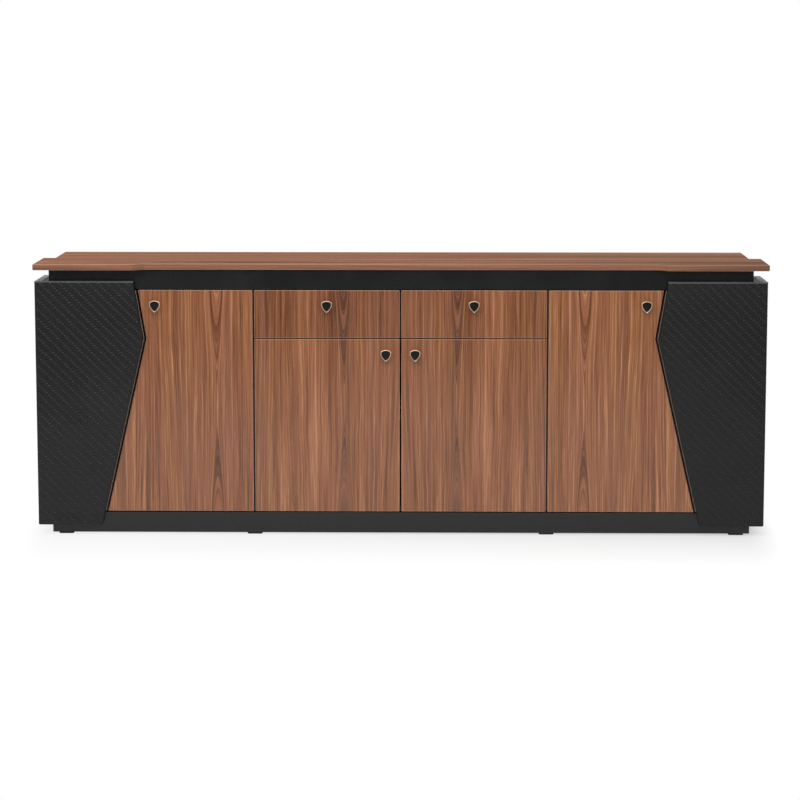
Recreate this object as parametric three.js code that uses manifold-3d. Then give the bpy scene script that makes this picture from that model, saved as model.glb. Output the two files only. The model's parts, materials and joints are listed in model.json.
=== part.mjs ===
import * as THREE from 'three';
import { mergeVertices } from 'three/addons/utils/BufferGeometryUtils.js';
import Module from 'manifold-3d';

const wasm = await Module();
wasm.setup();

// Office credenza, in millimetres. X runs to the right, Y to the back, Z up.
// The origin is on the floor, under the middle of the cabinet.

// Overall size
const WIDTH = 2200;
const DEPTH = 450;
const HEIGHT = 824;

// Boards
const BOARD = 18;
const BACK_BOARD = 8;
const DOOR_STANDOFF = 1;
const BACK_REVEAL = 5;

// Top slab: its ends stand forward of its middle, and its rear corners are set in
const SLAB_SETBACK = 27;
const SLAB_DIAGONAL = 34;
const SLAB_SIDE_OVERHANG = 7;

// Wings: kinked front plates with a return along each side
const WING_THICK = 20;
const WING_OVERHANG = 18;
const WING_REVEAL = 2;
const WING_DEPTH = 207;
const WING_SIDE_GAP = 21;
const WING_TOP_GAP = 35;
const WING_BOTTOM = 30;

// Levels
const PLINTH_CLEARANCE = 5;
const PLINTH_HEIGHT = 62;
const PLINTH_LAP = 7;
const FRIEZE_HEIGHT = 59;
const DRAWER_FRONT_HEIGHT = 144.5;

// Gaps between fronts
const UPRIGHT_GAP = 5;
const LEVEL_GAP = 3;
const EDGE_GAP = 4.5;
const PANEL_REVEAL = 3;

// Partitions, and the tall doors' kinked free edge, measured in from the ends of the slab
const PARTITION_INSET = 657.5;
const FREE_EDGE_TOP_INSET = 310.5;
const FREE_EDGE_KINK_INSET = 334.5;
const FREE_EDGE_BOTTOM_INSET = 212;

// Shelves
const SIDE_SHELF_Z = 400;
const SIDE_SHELF_INSET = 50;
const MIDDLE_SHELF_Z = 322;
const MIDDLE_SHELF_INSET = 70;

// Drawers and their runners
const BOX_SIDE_GAP = 3;
const BOX_FLOOR_GAP = 6;
const BOX_HEIGHT = 110;
const BOX_BACK_GAP = 31;
const BOX_WALL = 15;
const BOX_FLOOR = 10;
const RUNNER_RISE = 40;
const RUNNER_HEIGHT = 16;
const RUNNER_WIDTH = 10;
const RUNNER_SETBACK = 8;
const RUNNER_BACK_GAP = 27;
const RUNNER_BOLT_INSET = 86;
const RUNNER_CLEARANCE = 0.3;
const GROOVE_END_GAP = 2;

// Concealed hinges
const CUP_RADIUS = 17.5;
const CUP_DEPTH = 11.5;
const CUP_WALL = 2;
const CUP_EDGE = 22;
const CUP_CLEARANCE = 0.3;
const HINGE_INSET = 90;
const ARM_NOSE_GAP = 0.5;
const ARM_NOSE_LENGTH = 8;
const ARM_NOSE_WIDTH = 16;
const ARM_LENGTH = 62;
const ARM_WIDTH = 12;
const ARM_HEIGHT = 15;
const PLATE_SETBACK = 18;
const PLATE_LENGTH = 46;
const PLATE_HEIGHT = 34;
const PLATE_THICK = 3;
const BOLT_RADIUS = 2.5;
const BOLT_CLEARANCE = 0.3;
const BOLT_PITCH = 32;

// Shield-shaped knobs
const KNOB_WIDTH = 33;
const KNOB_HEIGHT = 39;
const KNOB_PLATE = 8;
const KNOB_BEVEL = 1;
const KNOB_RIM = 4;
const KNOB_POCKET = 1.5;
const KNOB_STEM = 13;
const KNOB_STEM_RADIUS = 7;
const KNOB_DROP = 46.5;
const KNOB_INSET = 44;
const SHIELD_CORNER_ACROSS_RATIO = 0.78;
const SHIELD_CORNER_UP_RATIO = 0.88;
const SHIELD_SHOULDER_UP_RATIO = 0.5;
const SHIELD_BELLY_DOWN_RATIO = 0.15;
const SHIELD_TIP_ACROSS_RATIO = 0.48;
const SHIELD_TIP_DOWN_RATIO = 0.72;

// Feet
const FOOT_SOLE_RADIUS = 19;
const FOOT_RADIUS = 22.5;
const FOOT_TAPER = 3.5;
const FOOT_POST_RADIUS = 12;
const FOOT_POST_GAP = 0.5;
const FOOT_SETBACK = 24;
const FOOT_END_INSET = 40;
const FOOT_BACK_INSET = 40;

// Facets
const ROUND_STEPS = 32;
const CURVE_STEPS = 8;
const BEVEL_STEPS = 2;
const MERGE_DISTANCE = 1e-4;

// Derived planes
const slabHalf = WIDTH / 2;
const slabBottom = HEIGHT - BOARD;
const slabFront = -DEPTH / 2;
const slabBack = DEPTH / 2;
const wingFront = slabFront + WING_OVERHANG;
const wingHalf = slabHalf - WING_REVEAL;
const wingBack = wingFront + WING_DEPTH;
const wingTop = slabBottom - WING_TOP_GAP;
const frontFace = wingFront + WING_THICK;
const doorBack = frontFace + BOARD;
const carcassFront = doorBack + DOOR_STANDOFF;
const carcassBack = slabBack - BACK_REVEAL;
const innerBack = carcassBack - BACK_BOARD;
const carcassHalf = wingHalf - WING_THICK - WING_SIDE_GAP;
const innerHalf = carcassHalf - BOARD;
const plinthTop = PLINTH_CLEARANCE + PLINTH_HEIGHT;
const bottomUnder = plinthTop - PLINTH_LAP;
const bottomTop = bottomUnder + BOARD;
const topUnder = slabBottom - BOARD;
const friezeBottom = slabBottom - FRIEZE_HEIGHT;
const frontsTop = friezeBottom - LEVEL_GAP;
const frontsBottom = plinthTop + LEVEL_GAP;
const drawerBottom = frontsTop - DRAWER_FRONT_HEIGHT;
const lowerDoorTop = drawerBottom - LEVEL_GAP;
const kinkZ = (drawerBottom + lowerDoorTop) / 2;
const deckUnder = kinkZ - BOARD / 2;
const deckTop = kinkZ + BOARD / 2;
const partitionMiddle = slabHalf - PARTITION_INSET;
const partitionInner = partitionMiddle - BOARD / 2;
const partitionOuter = partitionMiddle + BOARD / 2;
const lowerHingeX = partitionMiddle - UPRIGHT_GAP / 2;
const tallHingeX = partitionMiddle + UPRIGHT_GAP / 2;
const dividerHalf = BOARD / 2;

const walnut = new THREE.MeshStandardMaterial({ color: '#96694c', roughness: 0.5, metalness: 0 });
const blackBoard = new THREE.MeshStandardMaterial({ color: '#27272a', roughness: 0.6, metalness: 0 });
const leather = new THREE.MeshStandardMaterial({ color: '#2b2b2d', roughness: 0.55, metalness: 0 });
const champagne = new THREE.MeshStandardMaterial({ color: '#d7be9f', roughness: 0.3, metalness: 1 });
const steel = new THREE.MeshStandardMaterial({ color: '#b4b6b8', roughness: 0.35, metalness: 1 });
const blackPlastic = new THREE.MeshStandardMaterial({ color: '#1b1b1c', roughness: 0.5, metalness: 0 });

const credenza = new THREE.Group();
credenza.name = 'credenza';

// A group for one rigid body, placed at its own reference point
function addBody(name, x, y, z) {
  const body = new THREE.Group();
  body.name = name;
  body.position.set(x, y, z);
  credenza.add(body);
  return body;
}

// A named part in a body; its place is given in the cabinet's frame
function addPart(body, name, geometry, material, x = 0, y = 0, z = 0) {
  const part = new THREE.Mesh(geometry, material);
  part.name = name;
  part.position.set(x, y, z).sub(body.position);
  body.add(part);
}

function solidOf(geometry) {
  const bare = new THREE.BufferGeometry();
  bare.setAttribute('position', geometry.getAttribute('position'));
  bare.setIndex(geometry.getIndex());
  const merged = mergeVertices(bare, MERGE_DISTANCE);
  const index = merged.getIndex().array;
  const triangles = [];
  for (let i = 0; i < index.length; i += 3) {
    const [a, b, c] = index.slice(i, i + 3);
    if (a !== b && b !== c && c !== a) triangles.push(a, b, c);
  }
  return new wasm.Manifold(new wasm.Mesh({
    numProp: 3,
    vertProperties: new Float32Array(merged.getAttribute('position').array),
    triVerts: new Uint32Array(triangles),
  }));
}

function geometryOf(solid) {
  const mesh = solid.getMesh();
  const geometry = new THREE.BufferGeometry();
  geometry.setAttribute('position', new THREE.BufferAttribute(new Float32Array(mesh.vertProperties), 3));
  geometry.setIndex(new THREE.BufferAttribute(new Uint32Array(mesh.triVerts), 1));
  geometry.computeVertexNormals();
  return geometry;
}

function joined(...pieces) {
  return geometryOf(pieces.map(solidOf).reduce((whole, piece) => whole.add(piece)));
}

function cut(base, ...pieces) {
  return geometryOf(pieces.map(solidOf).reduce((whole, piece) => whole.subtract(piece), solidOf(base)));
}

// A board between two values on each axis, given in either order
function board(xs, ys, zs) {
  const [width, depth, height] = [xs, ys, zs].map(([a, b]) => Math.abs(b - a));
  const [x, y, z] = [xs, ys, zs].map(([a, b]) => (a + b) / 2);
  return new THREE.BoxGeometry(width, depth, height).translate(x, y, z);
}

// A rod along one axis, centred on a point
function rod(radius, length, axis, x, y, z) {
  const shape = new THREE.CylinderGeometry(radius, radius, length, ROUND_STEPS);
  if (axis === 'x') shape.rotateZ(Math.PI / 2);
  if (axis === 'z') shape.rotateX(Math.PI / 2);
  return shape.translate(x, y, z);
}

function turned(profile) {
  return new THREE.LatheGeometry(profile.map(([r, y]) => new THREE.Vector2(r, y)), ROUND_STEPS);
}

function outline(points) {
  return new THREE.Shape(points.map(([x, y]) => new THREE.Vector2(x, y)));
}

// A plate with its outline in the X and Z plane, between two values of Y
function upright(shape, front, back) {
  const plate = new THREE.ExtrudeGeometry(shape, { depth: back - front, bevelEnabled: false });
  return plate.rotateX(Math.PI / 2).translate(0, back, 0);
}

// The kinked line of the tall doors' free edge, carried on above and below the doors
function freeEdge(z) {
  const upperSlope = (FREE_EDGE_KINK_INSET - FREE_EDGE_TOP_INSET) / (frontsTop - kinkZ);
  const lowerSlope = (FREE_EDGE_KINK_INSET - FREE_EDGE_BOTTOM_INSET) / (kinkZ - frontsBottom);
  const spread = z > kinkZ ? upperSlope * (z - kinkZ) : lowerSlope * (kinkZ - z);
  return slabHalf - FREE_EDGE_KINK_INSET + spread;
}

// Outline from the kinked line, set off sideways, to a straight upright edge
function kinkedOutline(side, offset, straightX, low, high) {
  const edge = [high, kinkZ, low].map((z) => [side * (freeEdge(z) + offset), z]);
  return outline([...edge, [side * straightX, low], [side * straightX, high]]);
}

const SIDES = [['left', -1], ['right', 1]];
const cabinet = addBody('cabinet', 0, 0, 0);

// Top slab
const slabRearHalf = carcassHalf + SLAB_SIDE_OVERHANG;
const slabMiddle = slabFront + SLAB_SETBACK;
const notchY = wingBack + WING_REVEAL;
const stepOuter = freeEdge(wingTop) + EDGE_GAP + PANEL_REVEAL;
const slabRight = [
  [stepOuter - SLAB_DIAGONAL, slabMiddle],
  [stepOuter, slabFront],
  [slabHalf, slabFront],
  [slabHalf, notchY],
  [slabRearHalf, notchY],
  [slabRearHalf, slabBack],
];
const slabLeft = slabRight.map(([x, y]) => [-x, y]).reverse();
const slab = new THREE.ExtrudeGeometry(outline([...slabRight, ...slabLeft]), {
  depth: BOARD,
  bevelEnabled: false,
});
addPart(cabinet, 'top_slab', joined(slab), walnut, 0, 0, slabBottom);

// Carcass boards across the cabinet
const acrossInside = [-innerHalf, innerHalf];
const acrossOutside = [-carcassHalf, carcassHalf];
const betweenPartitions = [-partitionInner, partitionInner];
const carcassDepth = [carcassFront, innerBack];
const facingDepth = [frontFace, carcassFront];
const acrossBoards = {
  carcass_top: [acrossInside, carcassDepth, [topUnder, slabBottom]],
  carcass_bottom: [acrossInside, carcassDepth, [bottomUnder, bottomTop]],
  back_panel: [acrossInside, [innerBack, carcassBack], [bottomUnder, slabBottom]],
  frieze_rail: [acrossOutside, facingDepth, [friezeBottom, slabBottom]],
  plinth_front: [acrossOutside, facingDepth, [PLINTH_CLEARANCE, plinthTop]],
  plinth_back: [acrossInside, [innerBack - BOARD, innerBack], [PLINTH_CLEARANCE, bottomUnder]],
  drawer_deck: [betweenPartitions, carcassDepth, [deckUnder, deckTop]],
  middle_shelf: [betweenPartitions, [carcassFront + MIDDLE_SHELF_INSET, innerBack],
    [MIDDLE_SHELF_Z, MIDDLE_SHELF_Z + BOARD]],
};
for (const [name, spans] of Object.entries(acrossBoards)) {
  addPart(cabinet, name, joined(board(...spans)), blackBoard);
}

// Drawer divider, drilled for the bolts of the inner runners
const boxBottom = deckTop + BOX_FLOOR_GAP;
const runnerZ = boxBottom + RUNNER_RISE;
const runnerFront = carcassFront + RUNNER_SETBACK;
const runnerBack = innerBack - RUNNER_BACK_GAP;
const runnerDepth = [runnerFront, runnerBack];
const runnerLevel = [runnerZ - RUNNER_HEIGHT / 2, runnerZ + RUNNER_HEIGHT / 2];
const runnerBoltYs = [runnerFront + RUNNER_BOLT_INSET, runnerBack - RUNNER_BOLT_INSET];
const boltHoleRadius = BOLT_RADIUS + BOLT_CLEARANCE;
const runnerBoltHoles = runnerBoltYs.map((y) => rod(boltHoleRadius, 2 * BOARD, 'x', 0, y, runnerZ));
const divider = board([-dividerHalf, dividerHalf], carcassDepth, [deckTop, topUnder]);
addPart(cabinet, 'drawer_divider', cut(divider, ...runnerBoltHoles), blackBoard);

// Inner runners, bolted to each other through the divider
const innerRunners = SIDES.map(([, side]) => board(
  [side * dividerHalf, side * (dividerHalf + RUNNER_WIDTH)], runnerDepth, runnerLevel));
const runnerBolts = runnerBoltYs.map((y) => rod(BOLT_RADIUS, BOARD + RUNNER_WIDTH, 'x', 0, y, runnerZ));
addPart(cabinet, 'inner_runner_pair', joined(...innerRunners, ...runnerBolts), steel);

// Hinge levels and bolt places, shared by the arms, cups, bores and holes
const lowHingeZ = frontsBottom + HINGE_INSET;
const tallHingeZ = frontsTop - HINGE_INSET;
const lowerUpperHingeZ = lowerDoorTop - HINGE_INSET;
const plateFront = carcassFront + PLATE_SETBACK;
const plateBack = plateFront + PLATE_LENGTH;
const plateMiddle = (plateFront + plateBack) / 2;
const hingeBoltYs = [plateMiddle - BOLT_PITCH / 2, plateMiddle + BOLT_PITCH / 2];

// Pieces of one hinge arm on a partition's face, reaching out over the cup
function hingeArm(faceX, out, z) {
  const cupReach = CUP_EDGE - (BOARD - UPRIGHT_GAP) / 2;
  const reach = (near, far) => [faceX + out * near, faceX + out * far];
  const level = (height) => [z - height / 2, z + height / 2];
  const noseFront = doorBack + ARM_NOSE_GAP;
  const noseBack = noseFront + ARM_NOSE_LENGTH;
  const armBack = noseBack + ARM_LENGTH;
  return [
    board(reach(0, PLATE_THICK), [plateFront, plateBack], level(PLATE_HEIGHT)),
    board(reach(0, ARM_WIDTH), [plateFront, armBack], level(ARM_HEIGHT)),
    board(reach(PLATE_THICK, ARM_WIDTH), [noseFront, armBack], level(ARM_HEIGHT)),
    board(reach(PLATE_THICK, cupReach + ARM_NOSE_WIDTH / 2), [noseFront, noseBack], level(ARM_HEIGHT)),
  ];
}

// Sides, partitions, shelves, wings and what is fixed to them
for (const [label, side] of SIDES) {
  const outward = (near, far) => [side * near, side * far];
  const sideBoard = board(outward(innerHalf, carcassHalf), [carcassFront, carcassBack],
    [PLINTH_CLEARANCE, slabBottom]);
  addPart(cabinet, `${label}_side`, joined(sideBoard), blackBoard);

  const partition = board(outward(partitionInner, partitionOuter), carcassDepth, [bottomTop, topUnder]);
  const partitionX = side * partitionMiddle;
  const holes = hingeBoltYs.map((y) => rod(boltHoleRadius, 2 * BOARD, 'x', partitionX, y, lowHingeZ));
  addPart(cabinet, `${label}_partition`, cut(partition, ...holes), blackBoard);

  const shelf = board(outward(partitionOuter, innerHalf), [carcassFront + SIDE_SHELF_INSET, innerBack],
    [SIDE_SHELF_Z, SIDE_SHELF_Z + BOARD]);
  addPart(cabinet, `${label}_shelf`, joined(shelf), blackBoard);

  const wingShape = kinkedOutline(side, EDGE_GAP + PANEL_REVEAL, wingHalf, WING_BOTTOM, wingTop);
  const wingReturn = board(outward(wingHalf - WING_THICK, wingHalf), [wingFront, wingBack],
    [WING_BOTTOM, wingTop]);
  addPart(cabinet, `${label}_wing`, joined(upright(wingShape, wingFront, frontFace), wingReturn), leather);

  const panelShape = kinkedOutline(side, EDGE_GAP, carcassHalf, frontsBottom, frontsTop);
  addPart(cabinet, `${label}_fixed_panel`, joined(upright(panelShape, ...facingDepth)), walnut);

  const runnerWidth = outward(partitionInner, partitionInner - RUNNER_WIDTH);
  const outerRunner = board(runnerWidth, runnerDepth, runnerLevel);
  addPart(cabinet, `${label}_outer_runner`, joined(outerRunner), steel);

  const tallArm = (z) => hingeArm(side * partitionOuter, side, z);
  const lowerArm = (z) => hingeArm(side * partitionInner, -side, z);
  addPart(cabinet, `${label}_tall_upper_arm`, joined(...tallArm(tallHingeZ)), steel);
  addPart(cabinet, `${label}_lower_upper_arm`, joined(...lowerArm(lowerUpperHingeZ)), steel);
  const bolts = hingeBoltYs.map((y) => rod(BOLT_RADIUS, BOARD + PLATE_THICK, 'x', partitionX, y, lowHingeZ));
  const armPair = joined(...tallArm(lowHingeZ), ...lowerArm(lowHingeZ), ...bolts);
  addPart(cabinet, `${label}_lower_arm_pair`, armPair, steel);
}

// Feet: a tapered sole on the floor and a post up to the carcass bottom
const soleProfile = [
  [0, 0],
  [FOOT_SOLE_RADIUS, 0],
  [FOOT_RADIUS, FOOT_TAPER],
  [FOOT_RADIUS, PLINTH_CLEARANCE],
  [0, PLINTH_CLEARANCE],
];
function foot(postOffset) {
  const postMiddle = (bottomUnder + FOOT_TAPER) / 2;
  const post = rod(FOOT_POST_RADIUS, bottomUnder - FOOT_TAPER, 'z', 0, postOffset, postMiddle);
  return joined(turned(soleProfile).rotateX(Math.PI / 2), post);
}
const frontFootY = frontFace + FOOT_SETBACK;
const frontPostY = carcassFront + FOOT_POST_RADIUS + FOOT_POST_GAP;
const backFootY = innerBack - BOARD - FOOT_BACK_INSET;
const footRows = [['front', frontFootY, foot(frontPostY - frontFootY)], ['back', backFootY, foot(0)]];
const footPlaces = [['end', carcassHalf - FOOT_END_INSET], ['inner', partitionMiddle]];
for (const [label, side] of SIDES) {
  for (const [place, x] of footPlaces) {
    for (const [row, y, geometry] of footRows) {
      addPart(cabinet, `${label}_${place}_${row}_foot`, geometry, blackPlastic, side * x, y, 0);
    }
  }
}

// Knob: a shield plate with a pocket in its face, on a round stem that ends at the origin
function shield(width, height) {
  const w = width / 2;
  const h = height / 2;
  const right = [w * SHIELD_CORNER_ACROSS_RATIO, h * SHIELD_CORNER_UP_RATIO];
  const shoulderZ = h * SHIELD_SHOULDER_UP_RATIO;
  const bellyZ = -h * SHIELD_BELLY_DOWN_RATIO;
  const tip = [w * SHIELD_TIP_ACROSS_RATIO, -h * SHIELD_TIP_DOWN_RATIO];
  const shape = new THREE.Shape();
  shape.moveTo(0, h);
  shape.quadraticCurveTo(right[0], h, ...right);
  shape.quadraticCurveTo(w, right[1], w, shoulderZ);
  shape.bezierCurveTo(w, bellyZ, tip[0], tip[1], 0, -h);
  shape.bezierCurveTo(-tip[0], tip[1], -w, bellyZ, -w, shoulderZ);
  shape.quadraticCurveTo(-w, right[1], -right[0], right[1]);
  shape.quadraticCurveTo(-right[0], h, 0, h);
  return shape;
}

const knobPlate = new THREE.ExtrudeGeometry(shield(KNOB_WIDTH, KNOB_HEIGHT), {
  depth: KNOB_PLATE - 2 * KNOB_BEVEL,
  curveSegments: CURVE_STEPS,
  bevelThickness: KNOB_BEVEL,
  bevelSize: KNOB_BEVEL,
  bevelOffset: -KNOB_BEVEL,
  bevelSegments: BEVEL_STEPS,
});
const knobPocket = new THREE.ExtrudeGeometry(shield(KNOB_WIDTH - 2 * KNOB_RIM, KNOB_HEIGHT - 2 * KNOB_RIM), {
  depth: 2 * KNOB_POCKET,
  curveSegments: CURVE_STEPS,
  bevelEnabled: false,
});
knobPlate.rotateX(Math.PI / 2).translate(0, -KNOB_STEM - KNOB_BEVEL, 0);
knobPocket.rotateX(Math.PI / 2).translate(0, -KNOB_STEM - KNOB_PLATE + KNOB_POCKET, 0);
const stemLength = KNOB_STEM + KNOB_PLATE / 2;
const knobStem = rod(KNOB_STEM_RADIUS, stemLength, 'y', 0, -stemLength / 2, 0);
const knob = cut(joined(knobPlate, knobStem), knobPocket);

// Hinge cup: its open end is at the origin, facing the back
const cup = joined(turned([
  [0, -CUP_DEPTH],
  [CUP_RADIUS, -CUP_DEPTH],
  [CUP_RADIUS, 0],
  [CUP_RADIUS - CUP_WALL, 0],
  [CUP_RADIUS - CUP_WALL, CUP_WALL - CUP_DEPTH],
  [0, CUP_WALL - CUP_DEPTH],
]));

// A door body: its group stands on the hinge line, and its cups sit in bores in its back
function addDoor(name, hingeX, cupX, cupLevels, plate, knobX, knobZ) {
  const door = addBody(`${name}_door_body`, hingeX, frontFace, frontsBottom);
  const bores = cupLevels.map((z) => rod(CUP_RADIUS + CUP_CLEARANCE, 2 * CUP_DEPTH, 'y', cupX, doorBack, z));
  addPart(door, `${name}_door`, cut(plate, ...bores), walnut);
  addPart(door, `${name}_upper_cup`, cup, steel, cupX, doorBack, cupLevels[0]);
  addPart(door, `${name}_lower_cup`, cup, steel, cupX, doorBack, cupLevels[1]);
  addPart(door, `${name}_knob`, knob, champagne, knobX, frontFace, knobZ);
}

// Doors and drawers
const upperKnobZ = frontsTop - KNOB_DROP;
const boxInner = dividerHalf + BOX_SIDE_GAP;
const boxOuter = partitionInner - BOX_SIDE_GAP;
const boxBack = innerBack - BOX_BACK_GAP;
const grooveReach = RUNNER_WIDTH - BOX_SIDE_GAP + RUNNER_CLEARANCE;
const grooveDepth = [runnerFront - GROOVE_END_GAP, boxBack + GROOVE_END_GAP];
const grooveLevel = [runnerLevel[0] - RUNNER_CLEARANCE, runnerLevel[1] + RUNNER_CLEARANCE];
for (const [label, side] of SIDES) {
  const outward = (near, far) => [side * near, side * far];
  const tallShape = kinkedOutline(side, 0, tallHingeX, frontsBottom, frontsTop);
  addDoor(`${label}_tall`, side * tallHingeX, side * (tallHingeX + CUP_EDGE), [tallHingeZ, lowHingeZ],
    upright(tallShape, frontFace, doorBack), side * (freeEdge(upperKnobZ) - KNOB_INSET), upperKnobZ);

  const frontWidth = outward(UPRIGHT_GAP / 2, lowerHingeX);
  const lowerPlate = board(frontWidth, [frontFace, doorBack], [frontsBottom, lowerDoorTop]);
  addDoor(`${label}_lower`, side * lowerHingeX, side * (lowerHingeX - CUP_EDGE),
    [lowerUpperHingeZ, lowHingeZ], lowerPlate, side * KNOB_INSET, lowerDoorTop - KNOB_DROP);

  const drawerX = side * (UPRIGHT_GAP / 2 + lowerHingeX) / 2;
  const drawer = addBody(`${label}_drawer_body`, drawerX, frontFace, drawerBottom);
  const front = board(frontWidth, [frontFace, doorBack], [drawerBottom, frontsTop]);
  addPart(drawer, `${label}_drawer_front`, joined(front), walnut);
  addPart(drawer, `${label}_drawer_knob`, knob, champagne, drawerX, frontFace, upperKnobZ);
  const shell = board(outward(boxInner, boxOuter), [doorBack, boxBack], [boxBottom, boxBottom + BOX_HEIGHT]);
  const hollow = board(outward(boxInner + BOX_WALL, boxOuter - BOX_WALL),
    [doorBack + BOX_WALL, boxBack - BOX_WALL], [boxBottom + BOX_FLOOR, boxBottom + 2 * BOX_HEIGHT]);
  const innerGroove = board(outward(dividerHalf, boxInner + grooveReach), grooveDepth, grooveLevel);
  const outerGroove = board(outward(partitionInner, boxOuter - grooveReach), grooveDepth, grooveLevel);
  addPart(drawer, `${label}_drawer_box`, cut(shell, hollow, innerGroove, outerGroove), blackBoard);
}

export default credenza;
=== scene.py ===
import json
import math

import bmesh
import bpy
from mathutils import Matrix, Vector


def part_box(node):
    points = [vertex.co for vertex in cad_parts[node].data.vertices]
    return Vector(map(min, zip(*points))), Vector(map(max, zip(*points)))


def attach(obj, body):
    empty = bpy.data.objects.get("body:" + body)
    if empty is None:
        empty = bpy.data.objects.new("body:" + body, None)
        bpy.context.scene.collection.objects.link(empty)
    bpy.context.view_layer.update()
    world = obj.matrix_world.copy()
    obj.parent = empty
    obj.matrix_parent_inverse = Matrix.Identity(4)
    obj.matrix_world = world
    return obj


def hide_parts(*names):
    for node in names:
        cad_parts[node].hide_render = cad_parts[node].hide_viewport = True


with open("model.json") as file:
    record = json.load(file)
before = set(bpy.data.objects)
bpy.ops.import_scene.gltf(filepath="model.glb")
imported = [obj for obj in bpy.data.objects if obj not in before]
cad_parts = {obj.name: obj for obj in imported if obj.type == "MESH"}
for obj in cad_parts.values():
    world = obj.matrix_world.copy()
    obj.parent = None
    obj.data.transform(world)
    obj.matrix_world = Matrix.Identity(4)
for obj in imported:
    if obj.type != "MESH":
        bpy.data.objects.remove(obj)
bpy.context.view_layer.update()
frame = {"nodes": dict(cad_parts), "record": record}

# Office credenza: veneered fronts, black boards, embossed leather wings and shield-shaped knobs.
# Everything is in metres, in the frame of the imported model: X right, Y back, Z up.

MM = 0.001
SIDES = (("left", -1), ("right", 1))

# Softened edges
SLAB_EASE = 2.2 * MM
FRONT_EASE = 1.8 * MM
PANEL_EASE = 3.2 * MM
BOARD_EASE = 0.7 * MM
METAL_EASE = 0.4 * MM
SLAB_STEPS = 4
FRONT_STEPS = 3
BOARD_STEPS = 2
SHARP_EDGE = math.radians(30)
FLAT_ANGLE = math.radians(0.5)
MERGE_GAP = 0.01 * MM
# Edges of a front that are shorter than this, such as those of its hinge bores, stay sharp
FRONT_EDGE = 12 * MM

body_of_node = {}
for body, members in frame["record"]["behaviour"]["bodies"].items():
    for member in members:
        body_of_node[member] = body


# Shader wiring


class Wiring:
    """Adds nodes to one tree. A socket that is given as a value is linked, anything else is set."""

    def __init__(self, tree):
        self.tree = tree

    def feed(self, socket, value):
        if isinstance(value, bpy.types.NodeSocket):
            self.tree.links.new(value, socket)
        else:
            socket.default_value = value

    def node(self, kind, values=None, **options):
        made = self.tree.nodes.new("ShaderNode" + kind)
        for key, value in options.items():
            setattr(made, key, value)
        for key, value in (values or {}).items():
            self.feed(made.inputs[key], value)
        return made

    def group(self, tree, values):
        return self.node("Group", values, node_tree=tree).outputs

    def maths(self, operation, *values):
        return self.node("Math", dict(enumerate(values)), operation=operation).outputs[0]

    def vector(self, x, y, z):
        return self.node("CombineXYZ", {0: x, 1: y, 2: z}).outputs[0]

    def noise(self, vector, scale, detail, roughness=0.5):
        values = {"Vector": vector, "Scale": scale, "Detail": detail, "Roughness": roughness}
        return self.node("TexNoise", values).outputs[0]

    def centred_noise(self, vector, detail):
        """Noise that lies about zero."""
        return self.maths("SUBTRACT", self.noise(vector, 1.0, detail), 0.5)

    def spread(self, value, low, high):
        """Stretches the range between low and high to 0 and 1."""
        values = {"Value": value, "From Min": low, "From Max": high}
        return self.node("MapRange", values).outputs[0]

    def ramp(self, factor, stops):
        made = self.node("ValToRGB", {"Fac": factor})
        elements = made.color_ramp.elements
        while len(elements) < len(stops):
            elements.new(0.5)
        for element, (position, colour) in zip(elements, stops):
            element.position = position
            element.color = colour
        return made.outputs[0]

    def mixed(self, factor, first, second, blend="MIX"):
        made = self.node("Mix", data_type="RGBA", blend_type=blend)
        sockets = {socket.identifier: socket for socket in made.inputs}
        for name, value in (("Factor_Float", factor), ("A_Color", first), ("B_Color", second)):
            self.feed(sockets[name], value)
        return next(socket for socket in made.outputs if socket.identifier == "Result_Color")


def bare_wiring(owner):
    """Empties the node tree of a material or a world and gives its wiring."""
    owner.use_nodes = True
    owner.node_tree.nodes.clear()
    return Wiring(owner.node_tree)


def new_group(name, inputs, outputs):
    """A shader node group with named sockets; gives its wiring and the sockets at both ends."""
    tree = bpy.data.node_groups.new(name, "ShaderNodeTree")
    for socket, kind in inputs:
        tree.interface.new_socket(socket, in_out="INPUT", socket_type="NodeSocket" + kind)
    for socket, kind in outputs:
        tree.interface.new_socket(socket, in_out="OUTPUT", socket_type="NodeSocket" + kind)
    entry = tree.nodes.new("NodeGroupInput")
    leave = tree.nodes.new("NodeGroupOutput")
    return Wiring(tree), entry.outputs, leave.inputs


def tone(red, green, blue):
    """A display colour, 0 to 255, as the linear colour that a shader takes."""
    linear = []
    for channel in (red, green, blue):
        share = channel / 255
        linear.append(share / 12.92 if share <= 0.04045 else ((share + 0.055) / 1.055) ** 2.4)
    return (*linear, 1.0)


def grey(level):
    return (level, level, level, 1.0)


# Walnut figure, in millimetres. The veneer comes in leaves of one width. Every other leaf has a pointed
# figure along its middle line, nested points that open away from a waist; in the leaves between, the
# lines fan out towards the foot.
LEAF_WIDTH = 192.0
LEAF_START = 74.0
WAIST = 402.0
POINT_SLOPE = 0.07
POINT_START = 3.5
POINT_DARK = 0.34
POINT_DEPTH = 30.0
POINT_EDGE = 0.01
POINT_NEST = 0.9
DEPTH_DRIFT = 0.25
FAN = 0.38
FAN_TOP = 640.0
FAN_FOOT = 60.0
# Bends: width, length and detail, and how far they push the lines aside
SWAY = (150.0, 520.0, 2.0, 15.0)
WAVER = (34.0, 120.0, 1.0, 5.0)
# Stripes: width, length and detail
BROAD_BANDS = (30.0, 2600.0, 1.0)
LINES = (7.0, 620.0, 2.0)
FINE_LINES = (3.2, 300.0, 2.0)
FIBRES = (1.2, 90.0, 1.0)
HUE_BANDS = (15.0, 1400.0, 1.0)
GREY_BANDS = (61.0, 1900.0, 1.0)
PORES = (0.75, 11.0, 0.0)
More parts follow.
